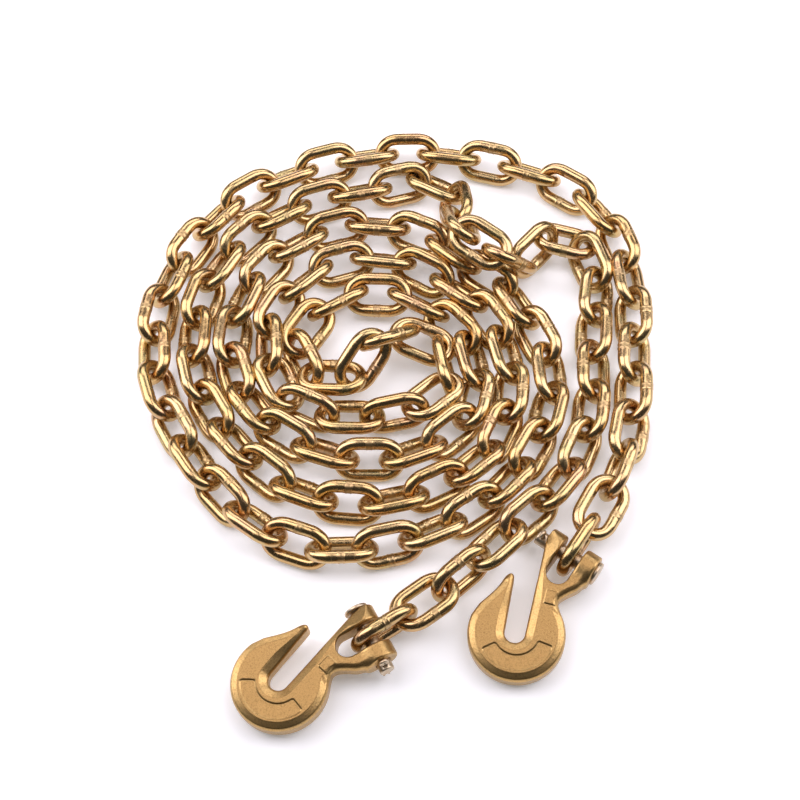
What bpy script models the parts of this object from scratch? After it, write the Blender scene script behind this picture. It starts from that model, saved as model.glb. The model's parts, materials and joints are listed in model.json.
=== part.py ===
"""Transport chain with a clevis grab hook at each end, laid down in a loose coil.

Units are metres, +Z is up and the chain rests on Z = 0, with X and Y centred on it.
The chain is one run of welded links. It starts at the right hook, winds inwards to
the middle of the coil and comes out again to the left hook. The links near the two
ends and along the outer turn are objects of their own. The links piled up inside
are joined by a Boolean union into one object, because a link is too small a piece
to name a hundred times.
"""

import math

import bmesh
import bpy
import numpy as np
from mathutils import Matrix, Vector

MM = 0.001

# Chain of five-sixteenths round bar, in the link's own frame: X along the link
WIRE_R = 4.35 * MM
LINK_PITCH = 32.0 * MM          # inside length
LINK_INNER_W = 13.9 * MM        # inside width
BAR_SIDES = 6
BAR_FULLNESS = 0.95             # flats of the six-sided bar against the round one
CROWN_PLAY = 1.45 * MM          # slack between two hooked crowns as they lie
CROWN_R = LINK_INNER_W / 2 + WIRE_R           # centre line of a crown
BAR_SPAN = LINK_PITCH + 2 * WIRE_R            # between a link's two crown bars
HOOKED_SPAN = 2 * WIRE_R + CROWN_PLAY         # between two hooked crown bars
UNION_BITE = 1.2 * MM           # how much shorter a joined link's half is, to overlap

# How a link leans: on edge at the hook's pin, then half-way over along the run
LAID_LEAN = 45.0
LINKS_TO_LEAN = 4
FLOOR_GAP = 0.61 * MM           # takes up the corners of the six-sided bars
LAID_HEIGHT = WIRE_R + CROWN_R * math.sin(math.radians(LAID_LEAN)) + FLOOR_GAP

# The links that are objects of their own, counted from each hook
RIGHT_SINGLES = 40
LEFT_SINGLES = 10
JOINTED_LINKS = {"right": 5, "left": 7}       # of those, the ones that swing

# Route of the chain's centre line over the floor: X, Y and lift above a laid link,
# in millimetres, from the right hook inwards and out again to the left hook
ROUTE_SHIFT_MM = (3.5, 11.7, 0)  # puts the middle of the whole chain over the origin
ROUTE_MM = [
    # right tail and outer turn
    (107, -127, 3.4), (128, -95, 3.4), (146, -61, 3.3), (157, -22, 1), (161, 18, 0),
    (164, 56, 0), (163, 96, 0), (154, 132, 0), (134, 162, 0), (105, 180, 0),
    (68, 192, 0), (30, 200, 0), (-10, 200, 0), (-49, 192, 0), (-86, 178, 0),
    (-118, 159, 0), (-142, 131, 0), (-160, 99, 0), (-170, 63, 0), (-171, 25, 0),
    (-161, -12, 0), (-142, -46, 0), (-119, -78, 0), (-89, -104, 0), (-54, -118, 0),
    (-17, -116, 0), (19, -106, 0), (51, -88, 0), (78, -63, 0), (96, -33, 0),
    # second turn of the right half
    (105, 0, 0), (102, 31, 0), (88, 60, 0), (71, 89, 0), (49, 111, 0), (19, 130, 0),
    (-12, 138, 0), (-43, 136, 0), (-71, 124, 0), (-96, 104, 0), (-112, 75, 0),
    (-118, 43, 0), (-113, 12, 0), (-98, -15, 0), (-75, -37, 0), (-47, -52, 0),
    (-17, -57, 0), (13, -50, 0), (36, -32, 0), (49, -5, 0),
    # inner turn and the crossing in the middle
    (48, 23, 0), (35, 50, 0), (15, 71, 0), (-10, 82, 0), (-36, 82, 0), (-57, 67, 0),
    (-64, 44, 0), (-57, 18, 0), (-38, 0, 2), (-14, 0, 12), (4, 14, 22),
    (-6, 34, 24), (-28, 40, 16), (-36, 54, 3), (-18, 60, 0), (4, 50, 0),
    # out again between the turns of the right half
    (17, 31, 0), (22, 5, 0), (12, -19, 0), (-13, -29, 0), (-42, -25, 0),
    (-68, -9, 0), (-85, 15, 0), (-91, 43, 0), (-86, 70, 0), (-69, 94, 0),
    (-43, 108, 0), (-12, 110, 0), (16, 101, 0), (41, 83, 0), (60, 57, 0),
    (75, 28, 0), (77, -4, 0), (66, -36, 0), (44, -62, 0), (14, -78, 0),
    (-20, -86, 0), (-55, -82, 0), (-86, -67, 0), (-110, -42, 0), (-131, -13, 0),
    (-143, 20, 0), (-144, 57, 0), (-135, 90, 0), (-119, 117, 0), (-95, 141, 0),
    (-64, 157, 0), (-29, 166, 0), (10, 170, 0), (39, 162, 0),
    # the kink at the back, which lies over the second turn
    (55, 147, 6), (66, 126, 14), (74, 104, 22), (80, 82, 26), (85, 62, 25),
    (97, 53, 13), (107, 65, 2), (108, 86, 0), (99, 106, 0), (96, 129, 0),
    (113, 145, 0), (131, 129, 0),
    # left tail
    (136, 104, 0), (137, 82, 0), (136, 56, 0), (133, 22, 0), (131, -14, 0),
    (121, -47, 0), (100.5, -77.5, 0), (71.5, -104.5, 2), (43, -132, 3.3), (13, -156, 3.4),
    (-17, -176, 3.4), (-44, -193, 3.4),
]
ROUTE_STEPS = 160               # samples of the smooth curve between two points

# Grab hook, in its own frame: X towards the clevis pin, Z through the thickness
BOWL_R = 31.0 * MM
HALF_T = 8.0 * MM
RIM_BEVEL = 3.0 * MM
SLOT_HALF_W = 6.45 * MM
SLOT_LEAN = math.radians(22.5)
SLOT_CENTRE = Vector((0.0, 1.2)) * MM
PIN_X = 62.5 * MM
EAR_OUTER_Y = 18.0 * MM
GAP_HALF_W = 7.4 * MM
GAP_BOTTOM_X = 47.5 * MM
BOSS_OUTER_Y = EAR_OUTER_Y + 0.2 * MM
BOSS_SIDES = 24
BOSS_R = 10.5 * MM
PIN_BORE_R = 5.25 * MM

# Clevis pin and its cotter
PIN_R = 4.9 * MM
HEAD_R = 7.9 * MM
HEAD_T = 2.6 * MM
HEAD_GAP = 0.35 * MM
PIN_END_Y = 25.0 * MM
COTTER_Y = 21.4 * MM
COTTER_WIRE_R = 1.25 * MM
COTTER_HOLE_R = 1.7 * MM
COTTER_SIDES = 8
COTTER_TOP_Z = PIN_R + 2.0 * MM               # the straight leg, from the pin's axis
COTTER_BEND_Z = -PIN_R - 3.0 * MM
EYE_R = 2.4 * MM                              # the eye's centre line
EYE_Z = PIN_R + 4.2 * MM
EYE_STEPS = 10
EYE_SIDES = 6
TIP_R = 1.1 * MM                              # the bent tip
TIP_ROOT = 0.75 * MM
TIP_LENGTH = 5.3 * MM
TIP_Z = -PIN_R - 2.1 * MM
TIP_LEAN = -20.0
PIN_TO_BAR = PIN_R + WIRE_R + 0.3 * MM        # pin axis to the last link's crown bar
HOOK_YAW = {"right": math.radians(-2), "left": math.radians(-6)}   # off the link's line
PIN_TURNED = {"right": 0.0, "left": math.radians(180)}             # which ear its head is on

ROUND = 20                      # sides of the turned pieces


# ---------------------------------------------------------------- shared helpers

def clear_scene():
    for obj in list(bpy.data.objects):
        bpy.data.objects.remove(obj, do_unlink=True)


def metal(name, colour, roughness):
    material = bpy.data.materials.new(name)
    material.use_nodes = True
    shader = material.node_tree.nodes["Principled BSDF"]
    shader.inputs["Base Color"].default_value = (*colour, 1.0)
    shader.inputs["Roughness"].default_value = roughness
    shader.inputs["Metallic"].default_value = 1.0
    material.diffuse_color = (*colour, 1.0)
    return material


def add_object(name, shape, material=None, matrix=None, parent=None):
    """Turn a bmesh into a named object, smooth over its shallow edges."""
    bmesh.ops.recalc_face_normals(shape, faces=shape.faces)
    mesh = bpy.data.meshes.new(name)
    shape.to_mesh(mesh)
    shape.free()
    mesh.shade_smooth()
    mesh.set_sharp_from_angle(angle=math.radians(50))
    if material:
        mesh.materials.append(material)
    obj = bpy.data.objects.new(name, mesh)
    bpy.context.collection.objects.link(obj)
    obj.parent = parent
    if matrix:
        obj.matrix_local = matrix
    return obj


def joint_empty(name, matrix, parent=None):
    """An empty on a joint's axis, which carries the pieces that turn there."""
    empty = bpy.data.objects.new(name, None)
    bpy.context.collection.objects.link(empty)
    empty.parent = parent
    empty.matrix_local = matrix
    return empty


def boolean(obj, other, operation, self_crossing=False):
    """Apply a Boolean at once and drop the other object."""
    step = obj.modifiers.new(operation.lower(), "BOOLEAN")
    step.operation = operation
    step.solver = "EXACT"
    step.use_self = self_crossing
    step.object = other
    bpy.context.view_layer.update()
    graph = bpy.context.evaluated_depsgraph_get()
    result = bpy.data.meshes.new_from_object(obj.evaluated_get(graph))
    obj.modifiers.clear()
    obj.data = result
    bpy.data.objects.remove(other, do_unlink=True)
    return obj


def axes_matrix(x, y, z, origin):
    matrix = Matrix((x, y, z)).transposed().to_4x4()
    matrix.translation = origin
    return matrix


def turned(profile, sides=ROUND):
    """A solid of revolution about Y: the profile is (radius, y) from end to end."""
    shape = bmesh.new()
    rings = []
    for radius, y in profile:
        if radius == 0:
            rings.append([shape.verts.new((0, y, 0))])
            continue
        ring = []
        for k in range(sides):
            turn = 2 * math.pi * k / sides
            ring.append(shape.verts.new((radius * math.cos(turn), y, radius * math.sin(turn))))
        rings.append(ring)
    for low, high in zip(rings, rings[1:]):
        for k in range(sides):
            n = (k + 1) % sides
            corners = [low[k % len(low)], low[n % len(low)], high[n % len(high)], high[k % len(high)]]
            shape.faces.new(list(dict.fromkeys(corners)))
    return shape


# ---------------------------------------------------------------- the chain

def smooth_route():
    """Points of a Catmull-Rom curve through the route, in metres."""
    points = (np.array(ROUTE_MM, dtype=float) + ROUTE_SHIFT_MM) * MM
    points[:, 2] += LAID_HEIGHT
    points = np.vstack([2 * points[0] - points[1], points, 2 * points[-1] - points[-2]])
    t = np.linspace(0, 1, ROUTE_STEPS, endpoint=False)[:, None]
    curve = []
    for a, b, c, d in zip(points, points[1:], points[2:], points[3:]):
        curve.append(0.5 * (2 * b + (c - a) * t + (2 * a - 5 * b + 4 * c - d) * t ** 2
                            + (3 * b - a - 3 * c + d) * t ** 3))
    return np.vstack(curve + [points[-2]])


def link_bars():
    """Each link's two crown-bar centres, hooked one into the next along the route."""
    curve = smooth_route()
    heading = np.gradient(curve, axis=0)
    heading /= np.linalg.norm(heading, axis=1)[:, None]
    bars = []
    at = 0
    while True:
        start = curve[at] - heading[at] * HOOKED_SPAN / 2
        ends = curve[at + 1:] + heading[at + 1:] * HOOKED_SPAN / 2
        far_enough = np.nonzero(np.linalg.norm(ends - start, axis=1) >= BAR_SPAN)[0]
        if len(far_enough) == 0:
            return bars
        bars.append((Vector(start), Vector(ends[far_enough[0]])))
        at += 1 + far_enough[0]


def lean_of(index, count):
    """How far the link leans from flat, in degrees: neighbours are square to each
    other, and the link on either hook's pin stands on edge."""
    on_edge = 0.0 if index < count / 2 or count % 2 else 90.0
    from_end = min(index, count - 1 - index)
    settled = min(from_end / LINKS_TO_LEAN, 1.0)
    return on_edge + (LAID_LEAN - on_edge) * settled + (90.0 if index % 2 == 0 else 0.0)


def link_frames():
    """A matrix for each link: X along it, Y across it in its own plane."""
    bars = link_bars()
    frames = []
    for index, (start, end) in enumerate(bars):
        along = (end - start).normalized()
        level = Vector((0, 0, 1)).cross(along).normalized()
        above = along.cross(level)
        lean = math.radians(lean_of(index, len(bars)))
        across = level * math.cos(lean) + above * math.sin(lean)
        frames.append(axes_matrix(along, across, along.cross(across), (start + end) / 2))
    return frames


def link_shape(shorter=0.0):
    """One welded link: a six-sided bar swept round eight corners that stand outside
    the true crowns, so that the play between two hooked crowns is kept."""
    corner = math.radians(22.5)
    flat = WIRE_R * BAR_FULLNESS / math.cos(math.pi / BAR_SIDES)
    shape = bmesh.new()
    rings = []
    for side in (1, -1):
        for step in (-3, -1, 1, 3):
            turn = step * corner
            out = Vector((math.cos(turn), math.sin(turn), 0)) * side
            middle = Vector((side * (BAR_SPAN / 2 - CROWN_R - shorter), 0, 0)) + out * CROWN_R / math.cos(corner)
            ring = []
            for k in range(BAR_SIDES):
                a = math.radians(360 / BAR_SIDES * (k + 0.5))
                reach = flat * math.cos(a) / math.cos(corner)
                ring.append(shape.verts.new(middle + out * reach + Vector((0, 0, flat * math.sin(a)))))
            rings.append(ring)
    for ring, after in zip(rings, rings[1:] + rings[:1]):
        for k in range(BAR_SIDES):
            n = (k + 1) % BAR_SIDES
            shape.faces.new((ring[k], ring[n], after[n], after[k]))
    return shape


def joined_links(name, frames, material):
    """Hooked links made one solid: the odd and the even ones, united where they touch."""
    halves = []
    for parity in (0, 1):
        shape = bmesh.new()
        for matrix in frames[parity::2]:
            one = link_shape(UNION_BITE)
            one.transform(matrix)
            bmesh.ops.recalc_face_normals(one, faces=one.faces)
            mesh = bpy.data.meshes.new("link")
            one.to_mesh(mesh)
            one.free()
            shape.from_mesh(mesh)
            bpy.data.meshes.remove(mesh)
        halves.append(add_object(name, shape, material))
    return boolean(*halves, "UNION", self_crossing=True)


# ---------------------------------------------------------------- the grab hook

def arc(centre, radius, start, end, steps):
    """Points of an arc, angles in degrees, in the hook's plane."""
    points = []
    for k in range(steps + 1):
        turn = math.radians(start + (end - start) * k / steps)
        points.append(Vector(centre) + radius * Vector((math.cos(turn), math.sin(turn))))
    return points


def hook_outline():
    """The hook seen from above, anticlockwise: bowl, neck, clevis block, shank,
    slot, and back along the point."""
    lean = math.degrees(SLOT_LEAN)
    ear_end = PIN_X + BOSS_R * 0.55
    outline = arc((0, 0), BOWL_R, 100, 328, 20)
    outline += [Vector(p) * MM for p in ((30.2, -11.6), (33.5, -10.2), (38.0, -11.8), (43.5, -15.4))]
    outline += [Vector((50.5 * MM, -EAR_OUTER_Y)), Vector((ear_end, -EAR_OUTER_Y))]
    outline += [Vector((ear_end, EAR_OUTER_Y)), Vector((57.5 * MM, EAR_OUTER_Y))]
    outline += arc(SLOT_CENTRE, SLOT_HALF_W, lean - 90, lean - 270, 8)
    outline += [Vector(p) * MM for p in ((26.6, 19.6), (29.6, 22.4), (30.2, 25.6), (28.4, 28.0))]
    outline += [Vector(p) * MM for p in ((24.8, 28.7), (19.0, 28.4), (11.5, 29.4), (3.0, 30.9))]
    return outline


def hook_shape():
    """The plate of the hook: its outline pulled to thickness, the rims bevelled."""
    shape = bmesh.new()
    bottom = [shape.verts.new((*point, -HALF_T)) for point in hook_outline()]
    face = shape.faces.new(bottom)
    top = bmesh.ops.extrude_face_region(shape, geom=[face])["geom"]
    bmesh.ops.translate(shape, verts=[v for v in top if isinstance(v, bmesh.types.BMVert)], vec=(0, 0, 2 * HALF_T))
    bmesh.ops.recalc_face_normals(shape, faces=shape.faces)
    rims = [e for e in shape.edges if abs(e.verts[0].co.z - e.verts[1].co.z) < HALF_T]
    bmesh.ops.bevel(shape, geom=rims, offset=RIM_BEVEL, segments=1, affect="EDGES", clamp_overlap=True)
    return shape


def gap_cutter():
    """The clevis gap: a slot with a round bottom, cut right through."""
    outline = arc((GAP_BOTTOM_X, 0), GAP_HALF_W, 90, 270, 8)
    outline += [Vector((2 * PIN_X, -GAP_HALF_W)), Vector((2 * PIN_X, GAP_HALF_W))]
    shape = bmesh.new()
    low = [shape.verts.new((*point, -2 * BOSS_R)) for point in outline]
    high = [shape.verts.new((*point, 2 * BOSS_R)) for point in outline]
    shape.faces.new(low)
    shape.faces.new(high)
    for k in range(len(outline)):
        n = (k + 1) % len(outline)
        shape.faces.new((low[k], low[n], high[n], high[k]))
    return shape


def round_bar(radius, y_low, y_high, sides=ROUND):
    shape = turned([(0, y_low), (radius, y_low), (radius, y_high), (0, y_high)], sides)
    bmesh.ops.translate(shape, vec=(PIN_X, 0, 0), verts=shape.verts)
    return shape


def make_hook(name, matrix, parent, material):
    hook = add_object(name, hook_shape(), material)
    bosses = add_object("bosses", round_bar(BOSS_R, -BOSS_OUTER_Y, BOSS_OUTER_Y, sides=BOSS_SIDES))
    boolean(hook, bosses, "UNION")
    boolean(hook, add_object("gap", gap_cutter()), "DIFFERENCE")
    boolean(hook, add_object("bore", round_bar(PIN_BORE_R, -2 * EAR_OUTER_Y, 2 * EAR_OUTER_Y)), "DIFFERENCE")
    hook.data.shade_smooth()
    hook.data.set_sharp_from_angle(angle=math.radians(35))
    hook.parent = parent
    hook.matrix_local = matrix
    return hook


def make_pin(name, matrix, parent, material):
    """The clevis pin: a flat head outside one ear, a cross hole beyond the other."""
    seat = BOSS_OUTER_Y + HEAD_GAP
    profile = [(0, -seat - HEAD_T), (HEAD_R - 0.6 * MM, -seat - HEAD_T), (HEAD_R, -seat - HEAD_T + 0.6 * MM),
               (HEAD_R, -seat), (PIN_R, -seat), (PIN_R, PIN_END_Y - 0.8 * MM), (PIN_R - 0.8 * MM, PIN_END_Y),
               (0, PIN_END_Y)]
    pin = add_object(name, turned(profile), material)
    hole = bmesh.new()
    bmesh.ops.create_cone(hole, cap_ends=True, segments=EYE_STEPS, radius1=COTTER_HOLE_R, radius2=COTTER_HOLE_R,
                          depth=4 * PIN_R, matrix=Matrix.Translation((0, COTTER_Y, 0)))
    boolean(pin, add_object("cross_hole", hole), "DIFFERENCE")
    pin.parent = parent
    pin.matrix_local = matrix
    return pin


def make_cotter(name, matrix, parent, material):
    """The cotter: a round leg through the cross hole, an eye on top and a bent tip."""
    leg = turned([(0, COTTER_BEND_Z), (COTTER_WIRE_R, COTTER_BEND_Z),
                  (COTTER_WIRE_R, COTTER_TOP_Z), (0, COTTER_TOP_Z)], COTTER_SIDES)
    leg.transform(Matrix.Rotation(math.radians(90), 4, "X"))
    cotter = add_object(name, leg, material)
    eye = bmesh.new()
    rings = []
    for point in range(EYE_STEPS):
        turn = 2 * math.pi * point / EYE_STEPS
        out = Vector((math.cos(turn), 0, math.sin(turn)))
        ring = []
        for k in range(EYE_SIDES):
            a = 2 * math.pi * k / EYE_SIDES
            middle = Vector((0, 0, EYE_Z)) + out * EYE_R
            ring.append(eye.verts.new(middle + out * COTTER_WIRE_R * math.cos(a)
                                      + Vector((0, COTTER_WIRE_R * math.sin(a), 0))))
        rings.append(ring)
    for ring, after in zip(rings, rings[1:] + rings[:1]):
        for k in range(EYE_SIDES):
            n = (k + 1) % EYE_SIDES
            eye.faces.new((ring[k], ring[n], after[n], after[k]))
    boolean(cotter, add_object("eye", eye), "UNION")
    tip = turned([(0, -TIP_ROOT), (TIP_R, -TIP_ROOT), (TIP_R, TIP_LENGTH), (0, TIP_LENGTH)], COTTER_SIDES)
    tip.transform(Matrix.Translation((0, 0, TIP_Z)) @ Matrix.Rotation(math.radians(TIP_LEAN), 4, "X"))
    boolean(cotter, add_object("tip", tip), "UNION")
    cotter.parent = parent
    cotter.matrix_local = matrix
    return cotter


def hook_frame(link, inward, yaw):
    """Where the hook lies: its pin through the last link, its bowl on the floor."""
    pull = link.to_3x3().col[0] * inward
    bar = link.translation - pull * BAR_SPAN / 2
    pin = bar + pull * PIN_TO_BAR
    level_pull = Matrix.Rotation(yaw, 3, "Z") @ Vector((pull.x, pull.y, 0)).normalized()
    across = Vector((0, 0, 1)).cross(level_pull)
    pitch = math.asin((pin.z - HALF_T) / (PIN_X + BOWL_R - RIM_BEVEL))
    along = level_pull * math.cos(pitch) + Vector((0, 0, math.sin(pitch)))
    return axes_matrix(along, across, along.cross(across), pin - along * PIN_X)


# ---------------------------------------------------------------- assembly

def swing_frame(link, parent_link, inward):
    """Where a link swings on the one before it: level, between their hooked crowns."""
    crown = parent_link.translation - parent_link.to_3x3().col[0] * inward * BAR_SPAN / 2
    own_crown = link.translation + link.to_3x3().col[0] * inward * BAR_SPAN / 2
    outward = -link.to_3x3().col[0] * inward
    level = Vector((0, 0, 1)).cross(outward).normalized()
    return axes_matrix(outward, level, outward.cross(level), (crown + own_crown) / 2)


def hang_chain(singles, frames, side, inward, jointed, parent, materials):
    """Parent the tail links one to the next, from the coil out to the hook."""
    holder = parent
    holder_world = Matrix.Identity(4)
    order = list(range(singles - 1, -1, -1))
    for index in order:
        world = frames[index]
        name = f"{side}_link_{index + 1:02d}"
        if index >= jointed:
            add_object(name, link_shape(), materials["link"], holder_world.inverted() @ world, holder)
            continue
        pivot = swing_frame(world, frames[index + 1], inward)
        holder = joint_empty(f"{side}_pivot_{index + 1:02d}", holder_world.inverted() @ pivot, holder)
        holder_world = pivot
        add_object(name, link_shape(), materials["link"], pivot.inverted() @ world, holder)
    hook_world = hook_frame(frames[0], inward, HOOK_YAW[side])
    pin_axis = hook_world @ Matrix.Translation((PIN_X, 0, 0))
    swing = joint_empty(f"{side}_hook_swing", holder_world.inverted() @ pin_axis, holder)
    make_hook(f"{side}_hook", Matrix.Translation((-PIN_X, 0, 0)), swing, materials["hook"])
    turn = joint_empty(f"{side}_pin_turn", Matrix.Rotation(PIN_TURNED[side], 4, "Z"), swing)
    make_pin(f"{side}_clevis_pin", Matrix.Identity(4), turn, materials["pin"])
    make_cotter(f"{side}_cotter_pin", Matrix.Translation((0, COTTER_Y, 0)), turn, materials["pin"])


def build():
    clear_scene()
    materials = {
        "link": metal("yellow_zinc_link", (0.72, 0.53, 0.25), 0.22),
        "hook": metal("yellow_zinc_forging", (0.60, 0.42, 0.20), 0.38),
        "pin": metal("pale_zinc_pin", (0.72, 0.62, 0.48), 0.30),
    }
    frames = link_frames()
    root = joint_empty("coil_centre", Matrix.Identity(4))
    inner = frames[RIGHT_SINGLES:len(frames) - LEFT_SINGLES]
    pile = joined_links("inner_coil_links", inner, materials["link"])
    pile.parent = root
    right = frames[:RIGHT_SINGLES + 1]
    hang_chain(RIGHT_SINGLES, right, "right", 1, JOINTED_LINKS["right"], root, materials)
    left = frames[::-1][:LEFT_SINGLES + 1]
    hang_chain(LEFT_SINGLES, left, "left", -1, JOINTED_LINKS["left"], root, materials)


build()
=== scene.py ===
# %% [markdown]
# # A binder chain in yellow zinc
#
# This lesson dresses a coil of welded chain that has a grab hook pinned to each end.
# The engineering model comes first, as a fixed frame: it says where each piece is and what it
# swings on. The pieces made here are finer ones that take the place of its plain solids.

import json
import math

import bpy
import numpy as np
from mathutils import Matrix, Vector


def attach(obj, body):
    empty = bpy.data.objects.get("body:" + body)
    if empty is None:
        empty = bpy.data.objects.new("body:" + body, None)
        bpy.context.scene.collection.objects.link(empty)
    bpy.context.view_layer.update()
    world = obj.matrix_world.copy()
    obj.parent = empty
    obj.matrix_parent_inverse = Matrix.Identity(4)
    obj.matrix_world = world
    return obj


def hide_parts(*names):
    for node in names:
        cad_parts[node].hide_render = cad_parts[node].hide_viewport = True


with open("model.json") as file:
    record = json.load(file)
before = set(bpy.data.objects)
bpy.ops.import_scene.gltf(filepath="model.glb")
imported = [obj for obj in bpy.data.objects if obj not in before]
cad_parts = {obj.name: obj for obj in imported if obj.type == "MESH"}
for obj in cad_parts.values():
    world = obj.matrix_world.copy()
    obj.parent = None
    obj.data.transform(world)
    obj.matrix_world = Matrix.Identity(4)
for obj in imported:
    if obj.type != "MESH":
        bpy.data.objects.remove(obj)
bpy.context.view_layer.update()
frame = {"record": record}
MM = 0.001

# %% [markdown]
# ## The view
# The chain lies on a table and the camera looks down at it steeply, from the side of the hooks.
# A long lens about a metre away keeps the near and the far turns almost the same size.

# %% Camera
TABLE_CENTRE = Vector((3.5, 11.7, 0)) * MM
CAMERA_RISE = math.radians(62)
CAMERA_DISTANCE = 1.06
CAMERA_LENS = 69.1

camera = bpy.data.objects.new("camera", bpy.data.cameras.new("camera"))
camera.data.lens = CAMERA_LENS
camera.location = TABLE_CENTRE + CAMERA_DISTANCE * Vector((0, -math.cos(CAMERA_RISE), math.sin(CAMERA_RISE)))
camera.rotation_euler = (math.pi / 2 - CAMERA_RISE, 0, 0)
bpy.context.scene.collection.objects.link(camera)
bpy.context.scene.camera = camera
print("camera at", [round(v, 3) for v in camera.location])

# %% [markdown]
# ## Writing a finish as arithmetic
# A finish is a small network of nodes. Wrapping a socket in a class with the usual operators lets
# the sums be read as sums: `1 - mask` adds one Math node. Everything else goes through `node`,
# which takes the node's type, its settings and what is plugged into it.

# %% Socket arithmetic
class Wire:
    """A shader socket that adds a Math node for each sum it is used in."""

    def __init__(self, finish, socket):
        self.finish = finish
        self.socket = socket

    def math(self, operation, *others, clamp=False):
        return self.finish.node("ShaderNodeMath", {"operation": operation, "use_clamp": clamp},
                                dict(enumerate((self, *others))))

    def __add__(self, other):
        return self.math("ADD", other)

    def __sub__(self, other):
        return self.math("SUBTRACT", other)

    def __mul__(self, other):
        return self.math("MULTIPLY", other)

    def __truediv__(self, other):
        return self.math("DIVIDE", other)

    def __rsub__(self, other):
        return self.finish.node("ShaderNodeMath", {"operation": "SUBTRACT"}, {0: other, 1: self})

    __radd__ = __add__
    __rmul__ = __mul__

    def size(self):
        return self.math("ABSOLUTE")

    def between(self, low, high):
        """0 below low, 1 above high and a smooth rise between them."""
        return self.finish.node("ShaderNodeMapRange", {"interpolation_type": "SMOOTHSTEP"},
                                {"Value": self, "From Min": low, "From Max": high})


class Finish:
    """A material whose nodes are added by name and read back as wires."""

    def __init__(self, name, **values):
        self.material = bpy.data.materials.new(name)
        self.material.use_nodes = True
        self.tree = self.material.node_tree
        self.surface = self.tree.nodes["Principled BSDF"]
        for socket, value in values.items():
            self.surface.inputs[socket.replace("_", " ")].default_value = value

    def plug(self, socket, value):
        if isinstance(value, Wire):
            self.tree.links.new(value.socket, socket)
        else:
            socket.default_value = value

    def node(self, kind, settings=None, inputs=None, output=0):
        made = self.tree.nodes.new(kind)
        for key, value in (settings or {}).items():
            setattr(made, key, value)
        for key, value in (inputs or {}).items():
            self.plug(made.inputs[key], value)
        return Wire(self, made.outputs[output])

    def set(self, **values):
        for socket, value in values.items():
            self.plug(self.surface.inputs[socket.replace("_", " ")], value)

    def place(self):
        """Where a point is on its own piece, in the piece's own metres."""
        return self.node("ShaderNodeTexCoord", output="Object")

    def noise(self, place, size, detail=3.0, roughness=0.55, seed=0.0):
        """Cloudy noise whose clouds are about `size` metres across."""
        return self.node("ShaderNodeTexNoise", {"noise_dimensions": "4D"},
                         {"Vector": place, "Scale": 1 / size, "Detail": detail,
                          "Roughness": roughness, "W": seed})

    def blend(self, share, first, second, how="MIX"):
        """One colour into another by share."""
        made = self.tree.nodes.new("ShaderNodeMix")
        made.data_type = "RGBA"
        made.blend_type = how
        self.plug(made.inputs[0], share)
        self.plug(made.inputs[6], first)
        self.plug(made.inputs[7], second)
        return Wire(self, made.outputs[2])

    def bump(self, height, distance, strength=1.0):
        return self.node("ShaderNodeBump", None,
                         {"Height": height, "Distance": distance, "Strength": strength})


def colour(red, green, blue):
    return (red, green, blue, 1.0)


# %% [markdown]
# ## Yellow zinc on drawn bar
# The links are zinc plated and then dipped in a yellow chromate. The film is thin and clear, so the
# metal shines through it like brass, and its thickness drifts from straw to olive and a faint
# pink. Each link has its own drift. The flash weld in the middle of one side is duller and darker.

# %% Link finish
WELD_HALF = 2.2 * MM


def link_finish():
    finish = Finish("yellow_zinc_link", Metallic=1.0)
    place = finish.place()
    own = finish.node("ShaderNodeObjectInfo", output="Random")
    along = finish.node("ShaderNodeSeparateXYZ", None, {"Vector": place}, output="X")
    side = finish.node("ShaderNodeSeparateXYZ", None, {"Vector": place}, output="Y")
    drift = finish.noise(place, 14 * MM, seed=own * 40)
    blush = finish.noise(place, 22 * MM, seed=own * 40 + 9)
    stain = finish.noise(place, 2.6 * MM, detail=5.0, seed=own * 40 + 3)
    grain = finish.noise(place, 0.5 * MM, detail=2.0)
    weld = (1 - along.size().between(WELD_HALF * 0.6, WELD_HALF * 1.5)) * side.between(0, 4 * MM)
    straw = finish.blend(own.between(0.0, 1.0), colour(0.57, 0.365, 0.155), colour(0.61, 0.425, 0.21))
    olive = finish.blend(drift.between(0.45, 0.72), straw, colour(0.48, 0.37, 0.165))
    pink = finish.blend(blush.between(0.50, 0.75) * 0.8, olive, colour(0.58, 0.335, 0.19))
    stained = finish.blend(stain.between(0.60, 0.78) * 0.55, pink, colour(0.36, 0.22, 0.10))
    finish.set(Base_Color=finish.blend(weld * 0.45, stained, colour(0.40, 0.28, 0.14)),
               Roughness=0.17 + drift * 0.12 + stain.between(0.5, 0.8) * 0.18 + weld * 0.10,
               Normal=finish.bump(grain + stain * 2.0 + weld * stain * 3.0, 0.05 * MM, 0.35))
    return finish.material
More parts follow.
